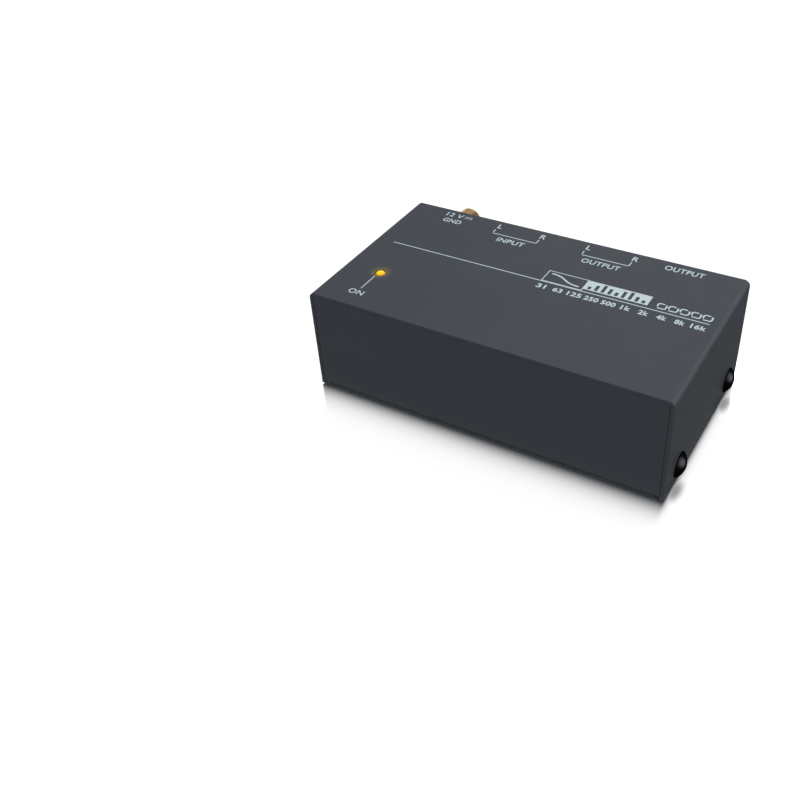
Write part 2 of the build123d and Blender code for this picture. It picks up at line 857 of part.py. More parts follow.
with BuildPart() as ground_lug:
    # A ring under the nut, an arm to the side, and a leg down to a soldered foot on the board.
    leg_x = (power_x + power_width / 2 + block_xs["input"] - block_half) / 2
    lug = (back_inner - lug_thickness, back_inner)
    bar("y", lug_radius, lug, (power_x, ground_z))
    block(
        (power_x, leg_x + lug_width / 2), lug, (ground_z - lug_width / 2, ground_z + lug_width / 2)
    )
    block((leg_x - lug_width / 2, leg_x + lug_width / 2), lug, (board_top, ground_z))
    block(
        (leg_x - lug_width / 2, leg_x + lug_width / 2),
        (back_inner - lug_foot, back_inner),
        (board_top, board_top + lug_thickness),
    )
    bar("y", m3_radius + turning_gap, lug, (power_x, ground_z), mode=Mode.SUBTRACT)
write(ground_lug.part, "ground_lug")

# ---- Power light
with BuildPart() as led_lens:
    bar("z", led_flange_radius, (led_low, led_low + led_flange_height), (led_x, led_y))
    bar("z", led_radius, (led_low, led_top - led_radius), (led_x, led_y))
    with Locations((led_x, led_y, led_top - led_radius)):
        Sphere(led_radius)
write(led_lens.part, "led_lens")

with BuildPart() as led_leads:
    with BuildSketch(Plane.XY.offset(tail_end)):
        with Locations((led_x - led_pitch / 2, led_y), (led_x + led_pitch / 2, led_y)):
            Rectangle(led_lead_side, led_lead_side)
    extrude(amount=led_low - tail_end)
write(led_leads.part, "led_leads")

with BuildPart() as led_spacer:
    with BuildSketch(Plane.XY.offset(board_top)):
        with Locations((led_x, led_y)):
            Circle(spacer_radius)
            Circle(spacer_bore, mode=Mode.SUBTRACT)
    extrude(amount=led_low - board_top)
write(led_spacer.part, "led_spacer")

# ---- Parts on the board
for name, (x, y) in op_amps.items():
    with BuildPart() as op_amp:
        chip_y = board_mid_y + y
        chip_low = board_top + dip_standing
        block(
            (x - dip_length / 2, x + dip_length / 2),
            (chip_y - dip_width / 2, chip_y + dip_width / 2),
            (chip_low, chip_low + dip_height),
        )
        bar(
            "z",
            dip_notch_radius,
            (chip_low + dip_height - dip_notch_depth, chip_low + dip_height),
            (x - dip_length / 2, chip_y),
            mode=Mode.SUBTRACT,
        )
        for i in range(4):
            pin_x = x + (i - 1.5) * dip_pitch
            shoulder = chip_low + dip_height / 2
            half = dip_pin_width / 2
            block(
                (pin_x - half, pin_x + half),
                (chip_y - dip_row / 2 - half, chip_y + dip_row / 2 + half),
                (shoulder - half, shoulder + half),
            )
            for side in (-1, 1):
                pin_y = chip_y + side * dip_row / 2
                block((pin_x - half, pin_x + half), (pin_y - half, pin_y + half), (tail_end, shoulder))
    write(op_amp.part, name)

for name, (x, y, radius, height, pitch) in cans.items():
    with BuildPart() as can:
        crimp_z = board_top + can_crimp_rise
        bar("z", radius, (board_top, board_top + height), (x, y))
        with BuildSketch(Plane.XZ.move(Location((x, y, crimp_z)))) as groove:
            with BuildLine():
                Polyline(
                    (radius - can_crimp, 0),
                    (radius + can_crimp, 2 * can_crimp),
                    (radius + can_crimp, -2 * can_crimp),
                    close=True,
                )
            make_face()
        revolve(groove.sketch, axis=Axis((x, y, 0), (0, 0, 1)), mode=Mode.SUBTRACT)
        for side in (-1, 1):
            bar("z", lead_radius, (tail_end, board_top), (x + side * pitch / 2, y))
    write(can.part, name)

with BuildPart() as film_capacitors:
    for x in film_xs:
        box_y = board_mid_y + film_y
        block(
            (x - film_width / 2, x + film_width / 2),
            (box_y - film_length / 2, box_y + film_length / 2),
            (board_top, board_top + film_height),
        )
        for side in (-1, 1):
            bar("z", lead_radius, (tail_end, board_top), (x, box_y + side * film_pitch / 2))
write(film_capacitors.part, "film_capacitors")

with BuildPart() as resistors:
    for x in resistor_xs:
        middle = board_mid_y + resistor_y
        height = board_top + resistor_radius
        bar("y", resistor_radius, (middle - resistor_length / 2, middle + resistor_length / 2), (x, height))
        ends = (middle - resistor_pitch / 2, middle + resistor_pitch / 2)
        bar("y", lead_radius, ends, (x, height))
        for end in ends:
            bar("z", lead_radius, (tail_end, height), (x, end))
            with Locations((x, end, height)):
                Sphere(lead_radius)
write(resistors.part, "resistors")

with BuildPart() as polarity_diode:
    y = board_mid_y + diode_at[1]
    height = board_top + diode_radius
    middle = diode_at[0]
    bar("x", diode_radius, (middle - diode_length / 2, middle + diode_length / 2), (y, height))
    ends = (middle - diode_pitch / 2, middle + diode_pitch / 2)
    bar("x", lead_radius, ends, (y, height))
    for end in ends:
        bar("z", lead_radius, (tail_end, height), (end, y))
        with Locations((end, y, height)):
            Sphere(lead_radius)
write(polarity_diode.part, "polarity_diode")

with BuildPart() as voltage_regulator:
    x = regulator_at[0]
    y = board_mid_y + regulator_at[1]
    low = board_top + regulator_standing
    bar("z", regulator_radius, (low, low + regulator_height), (x, y))
    block(
        (x - regulator_radius, x + regulator_radius),
        (y - regulator_radius, y - regulator_flat),
        (low, low + regulator_height),
        mode=Mode.SUBTRACT,
    )
    for step in (-1, 0, 1):
        bar("z", lead_radius, (tail_end, low), (x + step * regulator_pitch, y))
write(voltage_regulator.part, "voltage_regulator")
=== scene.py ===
# %% [markdown]
# # A small phono preamplifier
# The object is a sheet-steel box a little bigger than a pack of cards. Its bent cover and tray carry a
# grey powder coat with pale printed marks, and its connectors sit in a row on the back. The CAD model
# already has every solid in its place, in metres, so this script dresses those solids, adds the prints
# that are too thin for CAD, and sets up a small photo studio.

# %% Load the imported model
import math

import bmesh
import bpy
from mathutils import Matrix, Vector


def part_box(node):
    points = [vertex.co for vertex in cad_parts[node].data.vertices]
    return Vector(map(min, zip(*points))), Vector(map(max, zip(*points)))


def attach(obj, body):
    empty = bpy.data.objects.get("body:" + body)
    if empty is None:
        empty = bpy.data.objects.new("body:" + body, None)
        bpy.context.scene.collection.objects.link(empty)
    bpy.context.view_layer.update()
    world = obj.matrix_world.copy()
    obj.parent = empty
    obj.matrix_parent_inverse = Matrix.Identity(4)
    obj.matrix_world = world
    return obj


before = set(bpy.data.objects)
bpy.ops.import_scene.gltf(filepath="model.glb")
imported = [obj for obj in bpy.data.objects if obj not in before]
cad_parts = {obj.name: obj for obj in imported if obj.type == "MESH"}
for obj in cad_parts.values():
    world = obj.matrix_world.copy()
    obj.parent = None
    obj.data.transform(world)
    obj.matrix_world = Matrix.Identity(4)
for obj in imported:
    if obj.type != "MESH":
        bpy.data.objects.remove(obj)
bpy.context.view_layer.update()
mm = 0.001

# %% [markdown]
# ## Shader maths as plain sums
# A material is a net of nodes. Placing each one by hand would hide what it does, so a small class holds
# one socket and lets Python's own signs add the Math nodes. `1 - mask` then reads as it would on paper.
# Every other node comes from one method, which takes the node's type, its settings and its sockets.

# %% A wire between two nodes
class Wire:
    """One socket of a node tree, used in sums like a number."""

    def __init__(self, tree, socket=None):
        self.tree = tree
        self.socket = socket

    def node(self, kind, inputs=None, output=0, stops=(), **settings):
        """Adds a node: its settings and ramp stops first, then a value or a wire for each socket."""
        made = self.tree.nodes.new("ShaderNode" + kind)
        for name, value in settings.items():
            setattr(made, name, value)
        for place, colour in stops[1:-1]:
            made.color_ramp.elements.new(place)
        for element, (place, colour) in zip(made.color_ramp.elements if stops else (), stops):
            element.position = place
            element.color = (*colour, 1.0)
        for name, value in (inputs or {}).items():
            if isinstance(value, Wire):
                self.tree.links.new(value.socket, made.inputs[name])
            else:
                made.inputs[name].default_value = value
        return Wire(self.tree, made.outputs[output] if made.outputs else None)

    def maths(self, operation, a, b=0.0):
        return self.node("Math", {0: a, 1: b}, operation=operation)

    def __add__(self, other):
        return self.maths("ADD", self, other)

    __radd__ = __add__

    def __mul__(self, other):
        return self.maths("MULTIPLY", self, other)

    __rmul__ = __mul__

    def __sub__(self, other):
        return self.maths("SUBTRACT", self, other)

    def __rsub__(self, other):
        return self.maths("SUBTRACT", other, self)


# %% [markdown]
# ## Helpers that every finish shares
# Real surfaces are never one flat value. Each finish below starts from where a point lies on the object,
# makes a soft random grain from it, and lets that grain move the colour, the gloss and the relief a
# little. Distances are in metres, as everything is here, so a grain of half a millimetre stays that size.
# Some finishes also ask which way the surface faces: the painted highlights on the sheet's bends and the
# screws' crowns, and the painted shade on the sides of turned parts, all follow just that.

# %% Grain, mixing and relief
def new_finish(name):
    """An empty material and the wire that its nodes grow from."""
    made = bpy.data.materials.new(name)
    made.use_nodes = True
    made.node_tree.nodes.clear()
    return made, Wire(made.node_tree)


def place_on(start):
    """Where a point lies on the object."""
    return start.node("TexCoord", output="Object")


def share(start, vector, axis):
    """The share of a place or a direction that lies along one axis."""
    return start.node("SeparateXYZ", {0: vector}, output=axis)


def facing(start, axis):
    """How squarely the surface faces along an axis, from -1 to 1."""
    return share(start, start.node("NewGeometry", output="Normal"), axis)


def grain(start, size, stretch=(1, 1, 1)):
    """Random grain from 0 to 1 with spots of about this size, shorter along an axis with more stretch."""
    where = start.node("Mapping", {"Vector": place_on(start), "Scale": stretch})
    return start.node("TexNoise", {"Vector": where, "Scale": 1 / size})


def between(start, low, high, amount, first=0.0, last=1.0, curve="LINEAR"):
    """A value from low to high as the amount goes from first to last."""
    ends = {"From Min": first, "From Max": last, "To Min": low, "To Max": high}
    return start.node("MapRange", {"Value": amount, **ends}, interpolation_type=curve)


def tint(start, amount, first, second):
    """The first colour, or wire, turning into the second as the amount goes from 0 to 1."""
    first, second = (v if isinstance(v, Wire) else (*v, 1) for v in (first, second))
    return start.node("Mix", {0: amount, 6: first, 7: second}, output=2, data_type="RGBA")


def relief(start, height, depth, strength=0.5):
    """Bends the light as a relief of this depth would."""
    return start.node("Bump", {"Height": height, "Distance": depth, "Strength": strength})


def surface(start, sockets):
    """Joins a Principled shader with these sockets to the material's output."""
    start.node("OutputMaterial", {"Surface": start.node("BsdfPrincipled", sockets)})


def vectors(start, operation, a, b=(0, 0, 0), output="Vector"):
    """Vector Math on two places or directions."""
    return start.node("VectorMath", {0: a, 1: b}, output=output, operation=operation)


def length(start, vector, stretch=(1, 1, 1)):
    """Length of a vector once each axis is stretched. An axis stretched by 0 doesn't count."""
    return vectors(start, "LENGTH", vectors(start, "MULTIPLY", vector, stretch), output="Value")


def away_from(start, point, stretch=(1, 1, 1)):
    """Distance of a point on the object from a fixed point."""
    return length(start, vectors(start, "SUBTRACT", place_on(start), point), stretch)


print("helpers ready")

# %% [markdown]
# ## Powder coat on the tray and cover
# Powder coat is dry paint that is baked until it flows. It never gets quite smooth: a fine orange peel
# stays, and the gloss is satin. The shader's own gloss is at least that of a polished plastic when seen
# at a low angle, which is too much, so it is turned off and a thin clear coat of low weight gives the
# satin. The pigment is blue-grey. Round the power light the paint is lit by the light itself, so an amber
# glow fades out within about 3 mm of the lens. The glow is part of the paint's emission, because a lamp
# that small would need many samples to come out clean. Along the bends at the top a highlight is painted
# into the colour, so these corners are paler, as a lamp's sheen would make them. Their surface faces both
# sideways and up, and the product of both squares is 1 in the middle of the bend and 0 on flat faces.

# %% Powder coat
lens_low, lens_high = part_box("led_lens")
cover_low, cover_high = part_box("top_cover")
light_at = (lens_low + lens_high) / 2
light_at.z = cover_high.z
coat_dark = (0.068, 0.0765, 0.0895)
coat_pale = (0.078, 0.0875, 0.102)
bend_highlight = (0.12, 0.13, 0.145)
unlit = (0, 0, 0)
amber_glow = (0.075, 0.05, 0.0)
glow_from = 1.5 * mm
glow_to = 4.2 * mm
peel_size = 0.45 * mm
peel_height = 0.01 * mm

powder_coat, coat = new_finish("powder_coat")
cloud = grain(coat, 22 * mm)
peel = grain(coat, peel_size)
glow = between(coat, 1, 0, away_from(coat, light_at), glow_from, glow_to, "SMOOTHERSTEP")
across, upward = facing(coat, "X"), facing(coat, "Z")
# Painted highlight: the bends of the sheet are made paler than the flat faces.
on_bend = 4 * (across * across) * (upward * upward)
coat_colour = tint(coat, cloud * 0.7 + peel * 0.3, coat_dark, coat_pale)
surface(
    coat,
    {
        "Base Color": tint(coat, on_bend, coat_colour, bend_highlight),
        "Roughness": between(coat, 0.46, 0.56, grain(coat, 3 * mm)),
        "Specular IOR Level": 0.0,
        "Coat Weight": between(coat, 0.03, 0.06, grain(coat, 5 * mm)),
        "Coat Roughness": 0.3,
        "Normal": relief(coat, peel, peel_height, 0.35),
        "Emission Color": tint(coat, glow * glow, unlit, amber_glow),
        "Emission Strength": 1.0,
    },
)
print("powder coat glows round", [round(v / mm, 1) for v in light_at])

# %% [markdown]
# ## Plated and turned metal
# The socket shells are turned from brass and nickel plated. The turning tool leaves fine lines round the
# axis, which runs front to back on this object. Grain squeezed along that axis draws them, and moves the
# gloss with them. The faced end has the metal's full colour, and the turned sides are painted darker, a
# painted shade that keeps them readable against a white room. One function makes every plated finish,
# because only a few values differ.

# %% Plated metal
around_y = (1, 14, 1)  # lines 14 times as fine along the axis as round it
tool_width = 0.35 * mm
tool_depth = 0.004 * mm


def on_end(start):
    """1 on an end turned to the back, 0 on the sides, and a slope over the rounded edge between."""
    return between(start, 0, 1, facing(start, "Y"), 0.3, 0.9)


def plated(name, colour, dull, bright, side=0.86):
    """Metal with fine lines round the front-to-back axis, and sides painted darker as shade, with this
    share of its colour.
    """
    made, start = new_finish(name)
    lines = grain(start, tool_width, around_y)
    # Painted shade: the sides keep only a share of the metal's colour, and the faced end keeps all of it.
    faced = on_end(start) * between(start, 0.85, 1.0, grain(start, 4 * mm))
    surface(
        start,
        {
            "Base Color": tint(start, faced, [v * side for v in colour], colour),
            "Metallic": 1.0,
            "Roughness": between(start, bright, dull, lines),
            "Normal": relief(start, lines, tool_depth),
        },
    )
    return made


nickel = plated("nickel_plate", (0.86, 0.85, 0.83), 0.26, 0.12, side=0.5)
tinned_bronze = plated("tinned_bronze", (0.74, 0.71, 0.64), 0.4, 0.25)
zinc = plated("zinc_plate", (0.66, 0.67, 0.69), 0.45, 0.3)
# The power jack's pin gets a dark copy of the nickel: painted shade for the depth of its hole.
shaded_nickel = plated("shaded_nickel", (0.2, 0.2, 0.21), 0.4, 0.25)
print("plated:", nickel.name, tinned_bronze.name, zinc.name, shaded_nickel.name)

# %% [markdown]
# ## Socket contacts with a dark bore
# The centre contact of a phono socket is a split bronze tube. Its lip shines, but hardly any light gets
# down the 3.3 mm bore. The four sockets stand at an even pitch, so one fold of the place along x brings
# them all onto the same axis, and one radius tells bore from lip. That radius is a little more than the
# bore's, so the dark takes in the bore's edge, and it starts just behind the lip's face.

# %% Dark bores
bore_radius = 1.75 * mm
lip_depth = 0.05 * mm
socket_pitch = 14 * mm
socket_height = 14.3 * mm
bore_black = (0.006, 0.006, 0.006)
lip_dull = (0.66, 0.63, 0.56)
lip_bright = (0.8, 0.78, 0.72)
contact_low, contact_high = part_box("output_left_contact")
contact_x = (contact_low.x + contact_high.x) / 2

bored_bronze, tube = new_finish("bored_bronze")
at_x, at_y, at_z = (share(tube, place_on(tube), axis) for axis in "XYZ")
off_x = tube.maths("PINGPONG", at_x - contact_x, socket_pitch / 2)
off_z = at_z - socket_height
off_axis = tube.maths("SQRT", off_x * off_x + off_z * off_z)
behind_lip = tube.maths("LESS_THAN", at_y, contact_high.y - lip_depth)
# Painted shade: the bore is coloured near black because little light gets down it.
inside = tube.maths("LESS_THAN", off_axis, bore_radius) * behind_lip
lip = tint(tube, grain(tube, 0.4 * mm, around_y), lip_dull, lip_bright)
surface(
    tube,
    {
        "Base Color": tint(tube, inside, lip, bore_black),
        "Metallic": 1 - inside,
        "Roughness": between(tube, 0.3, 0.9, inside),
        "Specular IOR Level": 0.0,
    },
)
print("dark inside", bore_radius / mm, "mm of each socket's axis")

# %% [markdown]
# ## Satin brass on the ground screw
# The knob of the ground terminal is turned brass with a satin end. The lathe's feed leaves rings round
# its axis, so a ring pattern centred on the screw gives the relief. The end has the brass's own colour
# and drifts from a pale to a deeper gold. The knurled side is painted a deep brown, as painted shade.

# %% Satin brass
knob_low, knob_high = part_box("ground_screw")
knob_middle = (knob_low + knob_high) / 2
ring_pitch = 0.22 * mm
gold = ((0.7, 0.47, 0.15), (0.8, 0.58, 0.23))
brown = ((0.15, 0.09, 0.04), (0.27, 0.165, 0.07))

satin_brass, brass = new_finish("satin_brass")
off_axis = away_from(brass, knob_middle, (1, 0, 1))
rings = brass.maths("SINE", off_axis * (math.tau / ring_pitch)) * 0.5 + 0.5
rings = rings * 0.6 + grain(brass, 0.3 * mm, around_y) * 0.4
polished = tint(brass, grain(brass, 5 * mm), *gold)
# Painted shade: the knurled side is made a deep brown by the way it faces.
knurl_shade = tint(brass, grain(brass, 0.8 * mm), *brown)
surface(
    brass,
    {
        "Base Color": tint(brass, on_end(brass), knurl_shade, polished),
        "Metallic": 1.0,
        "Roughness": between(brass, 0.3, 0.42, rings),
        "Normal": relief(brass, rings, tool_depth, 0.4),
    },
)
print("brass rings round", [round(v / mm, 1) for v in knob_middle])

# %% [markdown]
# ## Blackened screws
# The screws are steel with a black oxide and a trace of oil. Oxide is thin, so it keeps the smooth shape
# of the pressed head. A soft grey highlight is painted on the crown above its middle, and the rim stays
# black. The way that the surface faces finds that spot on every head. The painted highlight faces upward,
# and also forward on the heads at the sides. A second mask keeps it off whatever doesn't face out of the
# case.

# %% Black oxide
spot_forward = 0.3
spot_upward = 0.46
spot_from, spot_to = 0.02, 0.4
crown_from, crown_to = 0.6, 0.85
oxide_black = ((0.003, 0.003, 0.0035), (0.007, 0.007, 0.008))
highlight_grey = (0.19, 0.19, 0.2)

black_oxide, oxide = new_finish("black_oxide")
oil = grain(oxide, 1.2 * mm)
face_x, face_y, face_z = (facing(oxide, axis) for axis in "XYZ")
to_front = face_y + spot_forward
sideways = oxide.maths("MINIMUM", face_x * face_x, to_front * to_front)
above = face_z - spot_upward
from_spot = oxide.maths("SQRT", sideways + above * above)
# Painted highlight: a soft grey spot on each head's crown.
crown_highlight = between(oxide, 1, 0, from_spot, spot_from, spot_to, "SMOOTHERSTEP")
outward = oxide.maths("MAXIMUM", oxide.maths("ABSOLUTE", face_x), face_y)
crown_highlight = crown_highlight * between(oxide, 0, 1, outward, crown_from, crown_to)
surface(
    oxide,
    {
        "Base Color": tint(oxide, crown_highlight, tint(oxide, oil, *oxide_black), highlight_grey),
        "Roughness": between(oxide, 0.26, 0.36, oil),
        "Specular IOR Level": 0.0,
        "Normal": relief(oxide, grain(oxide, 0.25 * mm), 0.006 * mm, 0.3),
    },
)
print("black oxide ready")

# %% [markdown]
# ## Moulded plastic and rubber
# A mould gives plastic either the polish of the steel or a fine spark-eroded texture. The rings inside
# the sockets are polished, and the black housings are textured. Both are one function with a different
# grain depth and gloss. The feet are a softer compound with almost no gloss.

# %% Moulded plastic
darkest = 0.94  # share of the colour that is left in its darkest clouds


def moulded(name, colour, smooth, rough, texture, depth):
    """Plastic with an almost even colour and the mould's texture."""
    made, start = new_finish(name)
    skin = grain(start, texture)
    surface(
        start,
        {
            "Base Color": tint(start, grain(start, 3 * mm), [v * darkest for v in colour], colour),
            "Roughness": between(start, smooth, rough, skin),
            "Specular IOR Level": 0.4,
            "Normal": relief(start, skin, depth),
        },
    )
    return made


red_plastic = moulded("red_plastic", (0.7, 0.014, 0.012), 0.28, 0.36, 0.4 * mm, 0.003 * mm)
white_plastic = moulded("white_plastic", (0.98, 0.98, 0.97), 0.28, 0.36, 0.4 * mm, 0.003 * mm)
socket_black = moulded("socket_black", (0.018, 0.019, 0.023), 0.42, 0.55, 0.2 * mm, 0.01 * mm)
collar_black = moulded("collar_black", (0.006, 0.006, 0.007), 0.35, 0.5, 0.2 * mm, 0.01 * mm)
power_black = moulded("power_black", (0.034, 0.036, 0.041), 0.5, 0.62, 0.18 * mm, 0.012 * mm)
foot_rubber = moulded("foot_rubber", (0.014, 0.014, 0.014), 0.8, 0.92, 0.3 * mm, 0.02 * mm)
can_sleeve = moulded("can_sleeve", (0.012, 0.016, 0.05), 0.25, 0.35, 0.6 * mm, 0.004 * mm)
film_box = moulded("film_box", (0.56, 0.33, 0.03), 0.3, 0.4, 0.5 * mm, 0.006 * mm)
chip_epoxy = moulded("chip_epoxy", (0.015, 0.015, 0.016), 0.6, 0.75, 0.12 * mm, 0.015 * mm)
print("moulded finishes: 9")

# %% [markdown]
# ## The lit power light
# The lens is amber epoxy over a bright chip. Seen from outside, its middle is a clear yellow and its rim
# is a deep orange, because there the light has crossed more of the tinted epoxy. The distance from the
# lens's axis drives a colour ramp on the emission, and a little grain keeps the rings from being perfect.

# %% Lit amber lens
lens_radius = (lens_high.x - lens_low.x) / 2
lit_stops = (
    (0.0, (1.0, 0.8, 0.03)),
    (0.55, (1.0, 0.62, 0.008)),
    (0.72, (0.7, 0.28, 0.0)),
    (0.86, (0.3, 0.08, 0.0)),
    (1.0, (0.15, 0.035, 0.0)),
)
epoxy_dark = (0.05, 0.02, 0.0)
amber_lens, lens = new_finish("amber_lens")
off_axis = away_from(lens, light_at, (1, 1, 0)) * (1 / lens_radius)
shimmer = grain(lens, 0.5 * mm) * 0.08
surface(
    lens,
    {
        "Base Color": (*epoxy_dark, 1),
        "Specular IOR Level": 0.1,
        "Roughness": between(lens, 0.12, 0.2, grain(lens, 0.3 * mm)),
        "Emission Color": lens.node("ValToRGB", {"Fac": off_axis + shimmer}, stops=lit_stops),
        "Emission Strength": 1.0,
    },
)
print("lens radius", round(lens_radius / mm, 2), "mm")

# %% [markdown]
# ## The board and its small parts
# The board is glass laminate under a green solder mask, with copper tracks that show as paler, raised
# lines. The joints of a brick pattern make a fair net of tracks. The resistors carry colour bands. They
# all lie the same way on one line, so bands across their length need only the place along that line.

# %% Solder mask
track_scale = 160.0
track_width = 0.04
track_height = 0.03 * mm
black, white = (0, 0, 0, 1), (1, 1, 1, 1)
mask_dark = (0.004, 0.06, 0.022)
mask_pale = (0.02, 0.16, 0.06)

solder_mask, mask = new_finish("solder_mask")
bricks = {"Vector": place_on(mask), "Scale": track_scale, "Mortar Size": track_width}
bricks.update({"Color1": black, "Color2": black, "Mortar": white})
tracks = mask.node("SeparateColor", {0: mask.node("TexBrick", bricks)})
surface(
    mask,
    {
        "Base Color": tint(mask, tracks * 0.8 + grain(mask, 6 * mm) * 0.2, mask_dark, mask_pale),
        "Roughness": between(mask, 0.28, 0.4, grain(mask, 1 * mm)),
        "Normal": relief(mask, tracks, track_height),
    },
)
print("solder mask ready")

# %% Banded resistors
row_low, row_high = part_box("resistors")
body_blue = (0.13, 0.34, 0.5)
brown_band = (0.25, 0.06, 0.01)
black_band = (0.01, 0.01, 0.01)
red_band = (0.6, 0.05, 0.01)
band_width = 0.06
bands_at = ((0.3, brown_band), (0.44, black_band), (0.58, red_band))
band_stops = [(0.0, body_blue)]
for band_at, colour in bands_at:
    band_stops += [(band_at, colour), (band_at + band_width, body_blue)]

banded_coat, dip = new_finish("banded_coat")
along = between(dip, 0, 1, share(dip, place_on(dip), "Y"), row_low.y, row_high.y)
bands = dip.node("ValToRGB", {"Fac": along}, stops=band_stops)
bands.socket.node.color_ramp.interpolation = "CONSTANT"
surface(dip, {"Base Color": bands, "Roughness": between(dip, 0.2, 0.35, grain(dip, 0.5 * mm))})
print("bands along y, mm:", round(row_low.y / mm, 1), "to", round(row_high.y / mm, 1))

# %% [markdown]
# ## Dressing the solids
# Each CAD solid keeps its own mesh. Only the material in its slot is swapped, so the shape stays exactly
# what the motion model uses. The list pairs each finish with the pieces that have it on the real thing.

# %% Give every solid its finish
sockets = ("output_right", "output_left", "input_right", "input_left")
cans = ("supply_capacitor", "filter_capacitor", "output_capacitor_left", "output_capacitor_right")
springs = ["stereo_jack_tip_spring", "stereo_jack_ring_spring", "power_jack_spring", "power_jack_switch"]
feet = [f"foot_{end}_{side}" for end in ("front", "rear") for side in ("left", "right")]
dress = {
    powder_coat: ["base_tray", "top_cover"],
    black_oxide: ["cover_screws", "jack_screws"],
    zinc: ["board_standoffs", "board_screws", "ground_nut"],
    nickel: [f"{socket}_shell" for socket in sockets] + ["stereo_jack_sleeve"],
    shaded_nickel: ["power_jack_pin"],
    bored_bronze: [f"{socket}_contact" for socket in sockets],
    tinned_bronze: springs + ["ground_lug", "led_leads"],
    satin_brass: ["ground_screw", "ground_washer"],
    red_plastic: ["output_right_insulator", "input_right_insulator"],
    white_plastic: ["output_left_insulator", "input_left_insulator"],
    socket_black: ["input_jack_block", "output_jack_block", "led_spacer"],
    collar_black: ["stereo_jack_body"],
    power_black: ["power_jack_body"],
    foot_rubber: feet,
    solder_mask: ["circuit_board"],
    amber_lens: ["led_lens"],
    can_sleeve: cans,
    film_box: ["film_capacitors"],
    banded_coat: ["resistors"],
    chip_epoxy: ["op_amp_left", "op_amp_right", "voltage_regulator", "polarity_diode"],
}
dressed = {name: finish for finish, names in dress.items() for name in names}
for name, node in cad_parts.items():
    for material_slot in node.material_slots:
        material_slot.material = dressed[name]
print("dressed", len(dressed), "of", len(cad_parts))

# %% [markdown]
# ## The printed marks
# The pale marks on the cover are screen printed. Ink on steel lies about 0.02 mm proud, with crisp edges.
# It could be painted into the coat's material, but then each letter would be a picture. As thin solids
# the marks stay sharp from any distance and travel with the case. Ink is not one even tone: the mesh of
# the screen leaves it slightly mottled.

# %% Printing ink
ink_thin = (0.48, 0.6, 0.62)
ink_full = (0.6, 0.74, 0.77)
print_ink, ink = new_finish("print_ink")
screen = grain(ink, 0.3 * mm)
surface(
    ink,
    {
        "Base Color": tint(ink, screen, ink_thin, ink_full),
        "Roughness": between(ink, 0.5, 0.65, screen),
        "Specular IOR Level": 0.3,
        "Normal": relief(ink, screen, 0.004 * mm, 0.3),
    },
)
ink_height = 0.02 * mm
line_width = 0.3 * mm
cover_top = cover_high.z
case_middle = round((cover_low.y + cover_high.y) / 2, 5)
print("ink on z", round(cover_top / mm, 2), "mm, case middle y", round(case_middle / mm, 2), "mm")

# %% [markdown]
# ## Tools for the prints
# Every line starts as a flat rectangle. A plain stroke is that rectangle drawn upward by the ink's
# height. A bracket or an outline keeps only the rectangle's edges, draws those upward into a wall, and
# gives the wall the stroke's width. That keeps the width even round every corner. Positions on the cover
# are written in millimetres from its middle.

# %% Starting shapes and picking
near = 0.01 * mm  # how close counts as on a line
doubled = 0.001 * mm  # how close two corners are one


def flat(name, left, right, low, high, columns=1, rows=1):
    """A flat grid on the cover, between these places in millimetres from its middle."""
    bpy.ops.object.select_all(action="DESELECT")
    middle = ((left + right) / 2 * mm, (low + high) / 2 * mm + case_middle, cover_top)
    bpy.ops.mesh.primitive_grid_add(x_subdivisions=columns, y_subdivisions=rows, size=1, location=middle)
    made = bpy.context.object
    made.name = name
    made.scale = ((right - left) * mm, (high - low) * mm, 1)
    bpy.ops.object.transform_apply(location=True, rotation=True, scale=True)
    return made


def pick(made, kind, wanted):
    """In edit mode, selects only the corners, edges or faces whose middle is wanted."""
    bpy.ops.mesh.select_mode(type=kind)
    bpy.ops.mesh.select_all(action="DESELECT")
    shape = bmesh.from_edit_mesh(made.data)
    for part in {"VERT": shape.verts, "EDGE": shape.edges, "FACE": shape.faces}[kind]:
        corners = [part] if kind == "VERT" else list(part.verts)
        middle = sum((corner.co for corner in corners), Vector()) / len(corners)
        if wanted(middle):
            part.select_set(True)
    bmesh.update_edit_mesh(made.data)


def close_up(made):
    """Merges doubles, points the faces outwards and gives the print its ink."""
    bpy.ops.object.mode_set(mode="EDIT")
    bpy.ops.mesh.select_all(action="SELECT")
    bpy.ops.mesh.remove_doubles(threshold=doubled)
    bpy.ops.mesh.normals_make_consistent(inside=False)
    bpy.ops.object.mode_set(mode="OBJECT")
    made.data.materials.clear()
    made.data.materials.append(print_ink)
    return made


def join(name, pieces):
    """Makes one piece of several prints and lets it ride on the case."""
    bpy.ops.object.select_all(action="DESELECT")
    for piece in pieces:
        piece.select_set(True)
    bpy.context.view_layer.objects.active = pieces[0]
    if len(pieces) > 1:
        bpy.ops.object.join()
    made = bpy.context.object
    made.name = name
    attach(made, "case")
    print(name, len(made.data.polygons), "faces")


# %% Strokes, brackets, outlines and words
ink_rise = {"value": (0, 0, ink_height)}


def raise_faces(made):
    """In edit mode, draws all faces up by the ink's height."""
    bpy.ops.mesh.select_all(action="SELECT")
    bpy.ops.mesh.extrude_region_move(TRANSFORM_OT_translate=ink_rise)
    bpy.ops.object.mode_set(mode="OBJECT")
    return close_up(made)


def stroke(left, right, low, high):
    """A straight printed bar."""
    made = flat("stroke", left, right, low, high)
    bpy.ops.object.mode_set(mode="EDIT")
    return raise_faces(made)


